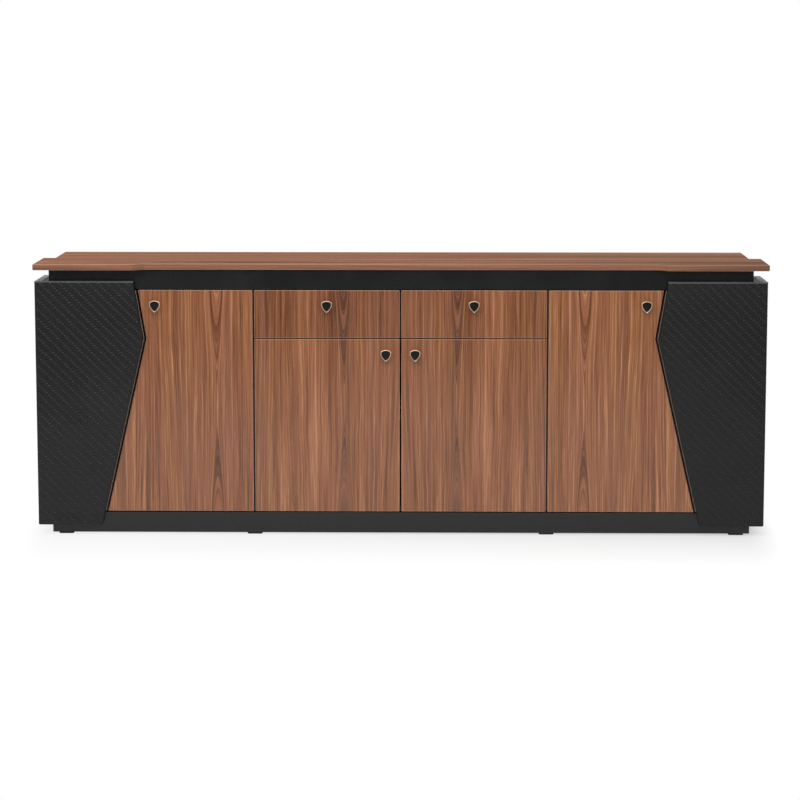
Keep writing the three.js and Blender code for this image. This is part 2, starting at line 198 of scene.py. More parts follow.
# How strongly they show in tone, colour, roughness and relief
MIDDLE_TONE = 0.5
LINE_TONE = 0.8
FINE_LINE_TONE = 1.15
FIBRE_TONE = 0.6
HUE_RANGE = (-0.18, 0.18)
GREY_RANGE = (0.02, 0.24)
GREY_SHARE = 0.22
PORE_RANGE = (0.13, 0.24)
PORE_SHARE = 0.45
FINE_LINE_ROUGHNESS = 0.22
PORE_ROUGHNESS = 0.12
FIBRE_RISE = 0.5
PORE_SINK = 0.6

WALNUT_TONES = [
    (0.08, tone(83, 46, 27)),
    (0.34, tone(124, 76, 48)),
    (0.50, tone(140, 88, 58)),
    (0.64, tone(152, 99, 67)),
    (0.90, tone(187, 134, 98)),
]
WALNUT_GOLDEN = (1.0, 1.0, 0.84, 1.0)
WALNUT_ROSY = (1.0, 0.94, 0.97, 1.0)
# Pale colour mixed in as painted sheen: a painted highlight on the rounded arrises of the fronts, panels
# and slab, and a little painted sheen on the slab's edge band
WALNUT_PAINTED_SHEEN = tone(190, 166, 150)
WALNUT_GREY = tone(124, 91, 75)
WALNUT_PORE = tone(82, 50, 36)


def walnut_figure_group():
    w, given, leave = new_group(
        "walnut_figure",
        [(name, "Float") for name in ("Across", "Along", "Depth", "Broad", "Shift", "Matt")],
        [("Color", "Color"), ("Roughness", "Float"), ("Height", "Float")],
    )
    across, along, depth = given["Across"], given["Along"], given["Depth"]

    # The lines sway gently along the board and waver a little
    def bent(width, length, detail, amount):
        place = w.vector(w.maths("DIVIDE", across, width), w.maths("DIVIDE", along, length), 0.0)
        return w.maths("MULTIPLY", w.centred_noise(place, detail), amount)

    swayed = w.maths("ADD", across, w.maths("ADD", bent(*SWAY), bent(*WAVER)))

    # Distance from the middle line of the leaf
    leaf = w.maths("FLOOR", w.maths("DIVIDE", w.maths("SUBTRACT", swayed, LEAF_START), LEAF_WIDTH))
    middle = w.maths("MULTIPLY_ADD", leaf, LEAF_WIDTH, LEAF_START + LEAF_WIDTH / 2)
    off = w.maths("SUBTRACT", swayed, middle)
    odd = w.maths("FLOORED_MODULO", leaf, 2.0)
    share = w.maths("DIVIDE", off, LEAF_WIDTH / 2)
    fade = w.maths("SUBTRACT", 1.0, w.maths("MULTIPLY", share, share))
    fan = w.maths("MULTIPLY", w.maths("MULTIPLY", odd, fade), w.spread(along, FAN_TOP, FAN_FOOT))
    off = w.maths("MULTIPLY", off, w.maths("MULTIPLY_ADD", fan, -FAN, 1.0))

    # Inside the pointed figure the lines close over the middle line, outside they run past it
    reach = w.maths("ABSOLUTE", w.maths("MULTIPLY", w.maths("SUBTRACT", along, WAIST), POINT_SLOPE))
    reach = w.maths("MAXIMUM", w.maths("SUBTRACT", reach, POINT_START), 0.0)
    reach = w.maths("MULTIPLY", w.maths("MULTIPLY", reach, fade), w.maths("SUBTRACT", 1.0, odd))
    gap = w.maths("SUBTRACT", w.maths("MULTIPLY", off, off), w.maths("MULTIPLY", reach, reach))
    outside = w.maths("SQRT", w.maths("MAXIMUM", gap, 0.0))
    inside = w.maths("SQRT", w.maths("MAXIMUM", w.maths("MULTIPLY", gap, -1.0), 0.0))
    line = w.maths("MULTIPLY_ADD", w.maths("SIGN", off), outside, middle)
    layer = w.maths("MULTIPLY_ADD", inside, POINT_NEST, w.maths("MULTIPLY", depth, DEPTH_DRIFT))

    def stripes(width, length, detail):
        place = w.vector(
            w.maths("DIVIDE", line, width),
            w.maths("DIVIDE", layer, width),
            w.maths("DIVIDE", along, length),
        )
        return w.centred_noise(place, detail)

    fine_lines = stripes(*FINE_LINES)
    fibres = stripes(*FIBRES)
    shifted = w.maths("ADD", given["Shift"], MIDDLE_TONE)
    figure = w.maths("MULTIPLY_ADD", stripes(*BROAD_BANDS), given["Broad"], shifted)
    figure = w.maths("MULTIPLY_ADD", stripes(*LINES), LINE_TONE, figure)
    figure = w.maths("MULTIPLY_ADD", fine_lines, FINE_LINE_TONE, figure)
    figure = w.maths("MULTIPLY_ADD", fibres, FIBRE_TONE, figure)
    pointed = w.maths("GREATER_THAN", inside, POINT_EDGE)
    core = w.maths("MULTIPLY", pointed, w.spread(inside, POINT_DEPTH, 0.0))
    figure = w.maths("MULTIPLY_ADD", core, -POINT_DARK, figure)
    colour = w.ramp(figure, WALNUT_TONES)

    # Some bands are more golden, rosy or grey than others
    hue = w.mixed(w.spread(stripes(*HUE_BANDS), *HUE_RANGE), WALNUT_GOLDEN, WALNUT_ROSY)
    colour = w.mixed(1.0, colour, hue, "MULTIPLY")
    greyer = w.spread(stripes(*GREY_BANDS), *GREY_RANGE)
    colour = w.mixed(w.maths("MULTIPLY", greyer, GREY_SHARE), colour, WALNUT_GREY)

    # Open pores: short dark dashes along the grain
    pores = w.spread(stripes(*PORES), *PORE_RANGE)
    colour = w.mixed(w.maths("MULTIPLY", pores, PORE_SHARE), colour, WALNUT_PORE)

    rough = w.maths("MULTIPLY_ADD", fine_lines, FINE_LINE_ROUGHNESS, given["Matt"])
    w.feed(leave["Color"], colour)
    w.feed(leave["Roughness"], w.maths("MULTIPLY_ADD", pores, PORE_ROUGHNESS, rough))
    sunk = w.maths("MULTIPLY", pores, -PORE_SINK)
    w.feed(leave["Height"], w.maths("MULTIPLY_ADD", fibres, FIBRE_RISE, sunk))
    return w.tree


# Skins of the other finishes. Scales are in waves to the metre.
STIPPLE_DETAIL = 2.0
STIPPLE_HARSHNESS = 0.6
STIPPLE_SHARE = 0.45
DRIFT_DETAIL = 3.0
SKIN_STOPS = (0.3, 0.7)
SKIN_ROUGHNESS = 0.2
SKIN_RELIEF = 0.1 * MM
PEBBLES = 900.0
CREASE_WIDTH = 0.22
CREASE_SHARE = 0.35
HIDE_DRIFT = 9.0
HIDE_STOPS = (0.2, 0.8)
HIDE_GLOSS = 0.12
HIDE_BUMP = 0.25
HIDE_RELIEF = 0.2 * MM


def stipple_group():
    """Fine uneven skin of a laminate, a moulding or a cast metal."""
    w, given, leave = new_group(
        "fine_stipple",
        [("Vector", "Vector"), ("Grain", "Float"), ("Drift", "Float")],
        [("Tone", "Float"), ("Height", "Float")],
    )
    grain = w.noise(given["Vector"], given["Grain"], STIPPLE_DETAIL, STIPPLE_HARSHNESS)
    drift = w.noise(given["Vector"], given["Drift"], DRIFT_DETAIL)
    drift = w.maths("MULTIPLY", drift, 1 - STIPPLE_SHARE)
    w.feed(leave["Tone"], w.maths("MULTIPLY_ADD", grain, STIPPLE_SHARE, drift))
    w.feed(leave["Height"], grain)
    return w.tree


def hide_grain_group():
    """Small pebbles and creases of a leather skin."""
    w, given, leave = new_group(
        "hide_grain",
        [("Vector", "Vector")],
        [("Tone", "Float"), ("Height", "Float")],
    )
    pebble_values = {"Vector": given["Vector"], "Scale": PEBBLES, "Randomness": 1.0}
    pebbles = w.node("TexVoronoi", pebble_values, feature="DISTANCE_TO_EDGE").outputs[0]
    creases = w.spread(pebbles, 0.0, CREASE_WIDTH)
    drift = w.maths("MULTIPLY", w.noise(given["Vector"], HIDE_DRIFT, DRIFT_DETAIL), 1 - CREASE_SHARE)
    w.feed(leave["Tone"], w.maths("MULTIPLY_ADD", creases, CREASE_SHARE, drift))
    w.feed(leave["Height"], creases)
    return w.tree


walnut_figure = walnut_figure_group()
fine_stipple = stipple_group()
hide_grain = hide_grain_group()


# Finishes

MM_PER_METRE = 1000.0
FRONT_BROAD = 0.4
FRONT_GLOSS = {"specular": 0.6, "matt": 0.22}
# On the slab the figure is stretched and shifted along it, and carries on over its edge
SLAB_STRETCH = 0.55
SLAB_START = 250.0
SLAB_TURN = 1.7
SLAB_ASIDE = 60.0
SLAB_BROAD = 1.8
# The edge band of the slab is darker towards its right end
BAND_STRETCH = 1.2
BAND_DARK_END = (760.0, 1000.0)
BAND_DARK = 0.2
WALNUT_BUMP = 0.25
WALNUT_RELIEF = 0.3 * MM


def new_finish(name, metallic=0.0, specular=0.5):
    """A material with its wiring, its shader and its object coordinates."""
    made = bpy.data.materials.new(name)
    w = bare_wiring(made)
    shader = w.node("BsdfPrincipled", {"Metallic": metallic, "Specular IOR Level": specular})
    w.node("OutputMaterial", {0: shader.outputs[0]})
    return made, w, shader.inputs, w.node("TexCoord").outputs["Object"]


def dress(w, shader, colour, rough, height, bump, distance):
    relief = w.node("Bump", {"Height": height, "Strength": bump, "Distance": distance})
    w.feed(shader["Base Color"], colour)
    w.feed(shader["Roughness"], rough)
    w.feed(shader["Normal"], relief.outputs[0])


def walnut_finish(name, grain, specular, matt, shift=0.0, painted_sheen=0.0):
    """Veneer with upright grain on a front, lengthwise on the slab, or in a band along its edge."""
    made, w, shader, coordinates = new_finish(name, specular=specular)
    axes = w.node("SeparateXYZ", {0: coordinates}).outputs
    x, y, z = (w.maths("MULTIPLY", axis, MM_PER_METRE) for axis in axes)
    if grain == "front":
        laid = {"Across": w.maths("ABSOLUTE", x), "Along": z, "Depth": y, "Broad": FRONT_BROAD}
    else:
        laid = {"Along": w.maths("MULTIPLY_ADD", x, SLAB_STRETCH, SLAB_START), "Depth": 0.0}
    if grain == "slab":
        over_edge = w.maths("MULTIPLY_ADD", z, SLAB_TURN, y)
        laid.update({"Across": w.maths("ADD", over_edge, SLAB_ASIDE), "Broad": SLAB_BROAD})
    elif grain == "band":
        laid.update({"Across": w.maths("MULTIPLY", z, BAND_STRETCH), "Broad": FRONT_BROAD})
        shift = w.maths("MULTIPLY_ADD", w.spread(x, *BAND_DARK_END), -BAND_DARK, shift)
    figure = w.group(walnut_figure, {**laid, "Shift": shift, "Matt": matt})
    # Mixing in the pale colour paints a highlight on an arris, or sheen on the edge band
    colour = w.mixed(painted_sheen, figure["Color"], WALNUT_PAINTED_SHEEN) if painted_sheen else figure["Color"]
    dress(w, shader, colour, figure["Roughness"], figure["Height"], WALNUT_BUMP, WALNUT_RELIEF)
    return made


def skin_finish(name, low, high, rough, grain, drift, bump, metallic=0.0, specular=0.5):
    """A finish with a fine stipple, between two tones."""
    made, w, shader, coordinates = new_finish(name, metallic, specular)
    skin = w.group(fine_stipple, {"Vector": coordinates, "Grain": grain, "Drift": drift})
    colour = w.ramp(skin["Tone"], list(zip(SKIN_STOPS, (low, high))))
    roughness = w.maths("MULTIPLY_ADD", skin["Tone"], SKIN_ROUGHNESS, rough - SKIN_ROUGHNESS / 2)
    dress(w, shader, colour, roughness, skin["Height"], bump, SKIN_RELIEF)
    return made


def leather_finish(name, low, high, rough, specular):
    """Leather between two tones, paler and glossier on its pebbles than in its creases."""
    made, w, shader, coordinates = new_finish(name, specular=specular)
    skin = w.group(hide_grain, {"Vector": coordinates})
    colour = w.ramp(skin["Tone"], list(zip(HIDE_STOPS, (low, high))))
    roughness = w.maths("MULTIPLY_ADD", skin["Tone"], -HIDE_GLOSS, rough)
    dress(w, shader, colour, roughness, skin["Height"], HIDE_BUMP, HIDE_RELIEF)
    return made


walnut_panels = walnut_finish("walnut_upright_grain", "front", **FRONT_GLOSS)
# The arris finishes are painted paler as a highlight along the rounded edges
walnut_arris = walnut_finish("walnut_arris_painted_sheen", "front", specular=0.5, matt=0.34, painted_sheen=0.28)
panel_arris = walnut_finish("walnut_panel_arris_painted_sheen", "front", specular=0.5, matt=0.4, painted_sheen=0.5)
walnut_slab = walnut_finish("walnut_lengthwise_grain", "slab", specular=0.08, matt=0.62)
slab_arris = walnut_finish("walnut_slab_arris_painted_sheen", "slab", specular=0.2, matt=0.5, painted_sheen=0.4)
slab_band = walnut_finish("walnut_edge_band", "band", specular=0.35, matt=0.4, shift=-0.13, painted_sheen=0.1)
black_board = skin_finish(
    "black_board", tone(17, 17, 18), tone(23, 23, 24), rough=0.27, grain=1400.0, drift=6.0, bump=0.12)
black_leather = leather_finish(
    "black_leather", tone(14, 14, 15), tone(25, 25, 26), rough=0.44, specular=0.34)
raised_leather = leather_finish(
    "raised_leather", tone(13, 13, 14), tone(25, 25, 26), rough=0.37, specular=0.36)
champagne = skin_finish(
    "champagne_metal", tone(224, 196, 166), tone(242, 220, 196), rough=0.36, grain=900.0, drift=40.0,
    bump=0.05, metallic=0.7)
black_enamel = skin_finish(
    "black_enamel", tone(14, 13, 12), tone(28, 26, 24), rough=0.3, grain=1200.0, drift=60.0,
    bump=0.06, specular=0.25)
plated_steel = skin_finish(
    "plated_steel", tone(172, 174, 177), tone(206, 208, 210), rough=0.34, grain=700.0, drift=30.0,
    bump=0.08, metallic=0.65)
# The binding's grey stands in for light caught on the top edge of a wing: a painted highlight
binding_painted_highlight = skin_finish(
    "binding_painted_highlight", tone(70, 70, 73), tone(86, 86, 89), rough=0.4, grain=1000.0, drift=12.0, bump=0.12)
foot_plastic = skin_finish(
    "foot_plastic", tone(16, 16, 17), tone(28, 28, 29), rough=0.5, grain=1100.0, drift=20.0, bump=0.2)


# Shapes


def nodes_ending(*endings):
    return [name for name in frame["nodes"] if name.endswith(endings)]


def back_middle(node):
    """The middle of the back face of a node's box."""
    low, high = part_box(node)
    return Vector(((low.x + high.x) / 2, high.y, (low.z + high.z) / 2))


def in_scene(name, data):
    made = bpy.data.objects.new(name, data)
    bpy.context.scene.collection.objects.link(made)
    return made


def finished(bm, name, body, finish, smooth=False, edges=()):
    """Turns a bmesh into a dressed piece that rides on its body; edges are finishes for its edges."""
    mesh = bpy.data.meshes.new(name)
    bm.to_mesh(mesh)
    bm.free()
    if smooth:
        mesh.shade_smooth()
        mesh.set_sharp_from_angle(angle=SHARP_EDGE)
    for dressing in (finish, *edges):
        mesh.materials.append(dressing)
    piece = in_scene(name, mesh)
    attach(piece, body)
    return piece


def solid_copy(node):
    """The solid of a CAD node as a bmesh, with its triangles merged into flat faces."""
    bm = bmesh.new()
    bm.from_mesh(frame["nodes"][node].data)
    bmesh.ops.remove_doubles(bm, verts=bm.verts, dist=MERGE_GAP)
    bmesh.ops.dissolve_limit(bm, angle_limit=FLAT_ANGLE, verts=bm.verts, edges=bm.edges)
    return bm


def keep_faces(bm, kept):
    """Takes away all faces but those that the test keeps."""
    others = [face for face in bm.faces if not kept(face)]
    bmesh.ops.delete(bm, geom=others, context="FACES")


def round_edges(bm, edges, width, steps):
    """Rounds these edges and gives the new faces."""
    return bmesh.ops.bevel(
        bm, geom=edges, offset=width, offset_type="OFFSET", segments=steps, profile=0.5,
        affect="EDGES", clamp_overlap=True, material=-1)["faces"]


def ease_edges(bm, width, steps, flat_y=None, shortest=0.0):
    """Rounds the sharp edges, all but short ones and those that lie in the plane at flat_y."""
    sharp = [e for e in bm.edges if e.is_manifold and e.calc_face_angle() > SHARP_EDGE]
    sharp = [e for e in sharp if e.calc_length() > shortest]
    if flat_y is not None:
        sharp = [e for e in sharp if not all(abs(v.co.y - flat_y) < MERGE_GAP for v in e.verts)]
    return round_edges(bm, sharp, width, steps)


def box_edges(bm, low, high):
    """Adds a box between two corners and gives its edges."""
    low, high = Vector(low), Vector(high)
    shape = Matrix.Translation((low + high) / 2) @ Matrix.Diagonal((*(high - low), 1.0))
    corners = bmesh.ops.create_cube(bm, size=1.0, matrix=shape)["verts"]
    return list(dict.fromkeys(edge for corner in corners for edge in corner.link_edges))


def block(bm, low, high):
    """A metal box between two corners with softened edges."""
    round_edges(bm, box_edges(bm, low, high), METAL_EASE, BOARD_STEPS)


def turned(bm, profile, seat, axis, steps):
    """Spins (radius, height) pairs about a line through the seat; closed when both ends are on it."""
    seat, axis = Vector(seat), Vector(axis).normalized()
    aside = axis.orthogonal().normalized()
    points = [bm.verts.new(seat + axis * height + aside * radius) for radius, height in profile]
    lines = [bm.edges.new(pair) for pair in zip(points, points[1:])]
    bmesh.ops.spin(
        bm, geom=points + lines, cent=seat, axis=axis, dvec=(0.0, 0.0, 0.0), angle=2 * math.pi,
        steps=steps, use_merge=True, use_normal_flip=False, use_duplicate=False)


def closed(bm):
    """Merges what a spin leaves on its axis and turns every face outward."""
    bmesh.ops.remove_doubles(bm, verts=bm.verts, dist=MERGE_GAP)
    bmesh.ops.recalc_face_normals(bm, faces=bm.faces)
    return bm


# A low screw head with a round recess in its middle, in shares of its radius
SCREW_PROFILE = [
    (0.0, -0.2),
    (0.94, -0.2),
    (1.0, 0.05),
    (0.86, 0.36),
    (0.5, 0.5),
    (0.42, 0.46),
    (0.36, 0.12),
    (0.0, 0.08),
]
SCREW_STEPS = 20


def screw_head(bm, seat, axis, radius):
    profile = [(share * radius, height * radius) for share, height in SCREW_PROFILE]
    turned(bm, profile, seat, axis, SCREW_STEPS)


# Boards: the slab, the panels and fronts of veneer, and the black carcass

# A face leans by the upright part of its normal: least on the slab's edge band, more on its arris
BAND_LEAN = 0.2
ARRIS_LEAN = 0.97
# A black lipping darkens the gap beside each tall door as painted shade
LIPPING = 2.5 * MM
LIPPING_PROUD = 0.8 * MM
LIPPING_FRONT = 0.2 * MM
FACING = 0.5
# How much lighter or darker each front is painted: the drawer fronts are darkened as painted shade under
# the slab, the other fronts only shift their tone a little
FRONT_TONES_AND_PAINTED_SHADE = {
    "left_tall_door": 0.0,
    "left_lower_door": 0.0,
    "left_drawer_front": -0.13,
    "right_tall_door": 0.06,
    "right_lower_door": -0.01,
    "right_drawer_front": -0.05,
}
BOARDS = ["carcass_top", "carcass_bottom", "back_panel", "frieze_rail", "plinth_front", "plinth_back",
          "drawer_deck", "drawer_divider", "middle_shelf"]
SIDE_BOARDS = ("side", "partition", "shelf", "drawer_box")
BOARDS += [f"{side}_{part}" for side, sign in SIDES for part in SIDE_BOARDS]


def eased_board(node, finish, width, steps=BOARD_STEPS, arris=None, shortest=0.0):
    """A board with rounded edges in place of its node; the edges may take a finish of their own."""
    bm = solid_copy(node)
    rounded = ease_edges(bm, width, steps, shortest=shortest)
    edges = [arris] if arris else []
    if arris:
        for face in rounded:
            face.material_index = 1
    piece = finished(bm, node + "_eased", body_of_node[node], finish, edges=edges)
    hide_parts(node)


def painted_shade_lipping(side, sign):
    """A black lipping on the edge of a fixed panel that faces the gap beside the tall door, put there as
    painted shade that darkens the gap.
    """
    bm = solid_copy(f"{side}_fixed_panel")
    keep_faces(bm, lambda face: face.normal.x * sign <= -FACING)
    bmesh.ops.solidify(bm, geom=bm.faces, thickness=-LIPPING)
    bmesh.ops.recalc_face_normals(bm, faces=bm.faces)
    bmesh.ops.translate(bm, verts=bm.verts, vec=(sign * (LIPPING - LIPPING_PROUD), -LIPPING_FRONT, 0.0))
    finished(bm, f"{side}_panel_edge_painted_shade", "cabinet", black_board)


def banded_slab():
    """The top slab with a band of veneer around its edge and an arris above it, painted paler as a
    highlight.
    """
    bm = solid_copy("top_slab")
    ease_edges(bm, SLAB_EASE, SLAB_STEPS)
    bm.normal_update()
    for face in bm.faces:
        if abs(face.normal.z) < BAND_LEAN:
            face.material_index = 1
        elif face.normal.z < ARRIS_LEAN:
            face.material_index = 2
    edges = (slab_band, slab_arris)
    piece = finished(bm, "top_slab_eased", "cabinet", walnut_slab, edges=edges)
    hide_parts("top_slab")


banded_slab()
for side, sign in SIDES:
    panel = f"{side}_fixed_panel"
    eased_board(panel, walnut_panels, PANEL_EASE, FRONT_STEPS, panel_arris, FRONT_EDGE)
    painted_shade_lipping(side, sign)
for node, shade in FRONT_TONES_AND_PAINTED_SHADE.items():
    # The darker shift of a drawer front is painted shade
    veneer = walnut_finish("walnut_" + node, "front", shift=shade, **FRONT_GLOSS)
    eased_board(node, veneer, FRONT_EASE, FRONT_STEPS, walnut_arris, FRONT_EDGE)
for node in BOARDS:
    eased_board(node, black_board, BOARD_EASE)


# Wings: a rolled leather cover, the raised dashes of its twill and a binding along the top, paler grey
# as a painted highlight

LEATHER_ROLL = 3.5 * MM
LEATHER_STEPS = 4
WING_FRONT = -207 * MM
WING_SEAT = -187 * MM
WING_OUTSIDE = 1098 * MM
WING_BACK = 0.0
# Height and inner edge of the kinked front of a wing
WING_EDGE = [(30 * MM, 904.8 * MM), (598 * MM, 773 * MM), (771 * MM, 801.4 * MM)]
# Embossed twill of the leather: short raised dashes in rows, each row stepped sideways
DASH_PITCH = 29 * MM
DASH_LENGTH = 12 * MM
DASH_SHORTEST = 5 * MM
DASH_HEIGHT = 5.2 * MM
DASH_RISE = 0.7 * MM
DASH_MARGIN = 4.2 * MM
DASH_SIDES = 8
DASH_RINGS = 4
ROW_PITCH = 7.2 * MM
ROW_STEP = DASH_PITCH / 4
CAP_HEIGHT = 3.2 * MM
CAP_PROUD = 0.5 * MM
CAP_EASE = 1.3 * MM
UPWARD = 0.9


def wing_edge(z):
    """How far out the kinked inner edge of a wing is at one height."""
    for (low, near), (high, far) in zip(WING_EDGE, WING_EDGE[1:]):
        if z <= high:
            return near + (far - near) * (z - low) / (high - low)
    return WING_EDGE[-1][1]


def raised_dash(bm, middle, along, outward, length):
    """An oval dash, half of it sunk into the leather."""
    shape = Matrix.Identity(4)
    columns = (Vector(along) * length, Vector((0.0, 0.0, DASH_HEIGHT)), Vector(outward) * 2 * DASH_RISE)
    for column, vector in enumerate(columns):
        for row in range(3):
            shape[row][column] = vector[row]
    shape.translation = middle
    bmesh.ops.create_uvsphere(bm, u_segments=DASH_SIDES, v_segments=DASH_RINGS, radius=0.5, matrix=shape)


def dash_spans(row, start, stop):
    """The dashes of one row between two ends, as (middle, length) pairs; end ones are shortened."""
    first = math.floor((start + row * ROW_STEP) / DASH_PITCH)
    last = math.ceil((stop + row * ROW_STEP) / DASH_PITCH)
    for count in range(first, last + 1):
        middle = count * DASH_PITCH - row * ROW_STEP
        near = max(middle - DASH_LENGTH / 2, start)
        far = min(middle + DASH_LENGTH / 2, stop)
        if far - near >= DASH_SHORTEST:
            yield (near + far) / 2, far - near


def twill_row(row, z, sign):
    """One row of dashes across the front and the outside of a wing, as a bmesh of its own."""
    bm = bmesh.new()
    inner = max(wing_edge(z - DASH_HEIGHT / 2), wing_edge(z + DASH_HEIGHT / 2)) + DASH_MARGIN
    ends = sorted((sign * inner, sign * (WING_OUTSIDE - DASH_MARGIN)))
    for x, length in dash_spans(row, *ends):
        raised_dash(bm, (x, WING_FRONT, z), (1, 0, 0), (0, -1, 0), length)
    ends = sorted((sign * (WING_FRONT + DASH_MARGIN), sign * (WING_BACK - DASH_MARGIN)))
    for along, length in dash_spans(row, *ends):
        raised_dash(bm, (sign * WING_OUTSIDE, sign * along, z), (0, sign, 0), (sign, 0, 0), length)
    return bm


def wing_twill(side, sign):
    """All rows of a wing; each is made alone, because a small bmesh takes new dashes faster."""
    cover = bmesh.new()
    strip = bpy.data.meshes.new("twill_row")
    low, high = WING_EDGE[0][0] + DASH_MARGIN, WING_EDGE[-1][0] - DASH_MARGIN
    rows = math.floor((high - low - DASH_HEIGHT) / ROW_PITCH) + 1
    for row in range(rows):
        dashes = twill_row(row, low + DASH_HEIGHT / 2 + row * ROW_PITCH, sign)
        dashes.to_mesh(strip)
        dashes.free()
        cover.from_mesh(strip)
    bpy.data.meshes.remove(strip)
    finished(cover, f"{side}_wing_twill", "cabinet", raised_leather, smooth=True)


def wing_cap(side):
    """A plain binding over the top edge of a wing, a little proud of the leather; its grey, paler than
    the leather, is a painted highlight.
    """
    bm = solid_copy(f"{side}_wing")
    keep_faces(bm, lambda face: face.normal.z >= UPWARD)
    grown = bmesh.ops.extrude_face_region(bm, geom=bm.faces[:])["geom"]
    corners = [part for part in grown if isinstance(part, bmesh.types.BMVert)]
    bmesh.ops.translate(bm, verts=corners, vec=(0.0, 0.0, -CAP_HEIGHT))
    bmesh.ops.recalc_face_normals(bm, faces=bm.faces)
    bm.normal_update()
    shifts = [(v, v.normal * v.calc_shell_factor() * CAP_PROUD) for v in bm.verts]
    for corner, shift in shifts:
        bmesh.ops.translate(bm, verts=[corner], vec=shift)
    ease_edges(bm, CAP_EASE, LEATHER_STEPS)
    finished(bm, f"{side}_wing_cap", "cabinet", binding_painted_highlight, smooth=True)


for side, sign in SIDES:
    node = f"{side}_wing"
    bm = solid_copy(node)
    ease_edges(bm, LEATHER_ROLL, LEATHER_STEPS, WING_SEAT)
    wing = finished(bm, f"{side}_leather_wing", "cabinet", black_leather, smooth=True)
    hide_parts(node)
    wing_twill(side, sign)
    wing_cap(side)


# Knobs: a shield with a bright rim around a black inlay, on a turned stem

SHIELD_HALF_WIDTH = 16.5 * MM
SHIELD_HALF_HEIGHT = 19.5 * MM
# Corners of half a shield, from the middle of its top to its tip, before they are rounded
SHIELD_CORNERS = [
    (0.0, 16.2 * MM),
    (8.6 * MM, 15.0 * MM),
    (16.2 * MM, 10.4 * MM),
    (16.1 * MM, 2.0 * MM),
    (13.5 * MM, -5.6 * MM),
    (7.0 * MM, -14.2 * MM),
    (0.0, -19.5 * MM),
]
# Rounding of a corner in per cent of the sides beside it, and that of the tip
CORNER_ROUND_SHARE = 32
CORNER_STEPS = 5
TIP_ROUND = 1.4 * MM
TIP_STEPS = 3
# Rings of (inset from the outline, distance to the front): the shield, over its rim into the pocket
KNOB_RINGS = [
    (1.2 * MM, 13.0 * MM),
    (0.3 * MM, 13.3 * MM),
    (0.0, 14.2 * MM),
    (0.0, 18.6 * MM),
    (0.2 * MM, 19.6 * MM),
    (0.7 * MM, 20.5 * MM),
    (1.4 * MM, 20.9 * MM),
    (2.1 * MM, 20.6 * MM),
    (2.6 * MM, 20.0 * MM),
    (2.8 * MM, 19.2 * MM),
]
INLAY_RINGS = [
    (2.9 * MM, 19.2 * MM),
    (2.9 * MM, 19.6 * MM),
    (3.4 * MM, 19.9 * MM),
    (6.4 * MM, 20.2 * MM),
    (10.0 * MM, 20.3 * MM),
]
KNOB_STEM = [
    (0.0, 0.0),
    (9.4 * MM, 0.0),
    (9.8 * MM, 0.4 * MM),
    (9.6 * MM, 1.3 * MM),
    (8.2 * MM, 1.9 * MM),
    (6.0 * MM, 3.2 * MM),
    (5.3 * MM, 5.4 * MM),
    (5.6 * MM, 8.6 * MM),
    (7.0 * MM, 11.4 * MM),
    (7.6 * MM, 13.0 * MM),
    (0.0, 13.0 * MM),
]
STEM_STEPS = 32


def round_corners(bm, corners, amount, measure, steps):
    bmesh.ops.bevel(
        bm, geom=corners, offset=amount, offset_type=measure, segments=steps, profile=0.5,
        affect="VERTICES", material=-1)


def shield_face(bm):
    """A flat shield across the Y axis, with rounded corners and a tighter tip."""
    outline = SHIELD_CORNERS + [(-x, z) for x, z in reversed(SHIELD_CORNERS[1:-1])]
    corners = [bm.verts.new((x, 0.0, z)) for x, z in outline]
    bm.faces.new(corners)
    tip = corners.pop(len(SHIELD_CORNERS) - 1)
    round_corners(bm, corners, CORNER_ROUND_SHARE, "PERCENT", CORNER_STEPS)
    round_corners(bm, [tip], TIP_ROUND, "OFFSET", TIP_STEPS)
    bm.faces.ensure_lookup_table()
    return bm.faces[0]


def lofted_shield(bm, rings):
    """A closed shield through its rings, from the back to the front."""
    face = shield_face(bm)
    points, edges = list(face.verts), list(face.edges)
    wide, tall, front = 1.0, 1.0, 0.0
    for count, (inset, distance) in enumerate(rings):
        if count:
            grown = bmesh.ops.extrude_edge_only(bm, edges=edges)["geom"]
            points = [part for part in grown if isinstance(part, bmesh.types.BMVert)]
            fresh = set(points)
            edges = [part for part in grown
                     if isinstance(part, bmesh.types.BMEdge) and fresh.issuperset(part.verts)]
        new_wide, new_tall = 1 - inset / SHIELD_HALF_WIDTH, 1 - inset / SHIELD_HALF_HEIGHT
        bmesh.ops.scale(bm, verts=points, vec=(new_wide / wide, 1.0, new_tall / tall))
        bmesh.ops.translate(bm, verts=points, vec=(0.0, front - distance, 0.0))
        wide, tall, front = new_wide, new_tall, distance
    bmesh.ops.edgeloop_fill(bm, edges=edges)


def place_knob(node):
    centre = back_middle(node)
    body = body_of_node[node]

    bm = bmesh.new()
    lofted_shield(bm, KNOB_RINGS)
    turned(bm, KNOB_STEM, (0, 0, 0), (0, -1, 0), STEM_STEPS)
    closed(bm)
    bmesh.ops.translate(bm, verts=bm.verts, vec=centre)
    metal = finished(bm, node + "_shield", body, champagne, smooth=True)
    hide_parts(node)

    bm = bmesh.new()
    lofted_shield(bm, INLAY_RINGS)
    closed(bm)
    bmesh.ops.translate(bm, verts=bm.verts, vec=centre)
    finished(bm, node + "_inlay", body, black_enamel, smooth=True)


for name in nodes_ending("_knob"):
    place_knob(name)


# Concealed hinges: pressed cups with two screwed ears, and arms on plates; drawer runners

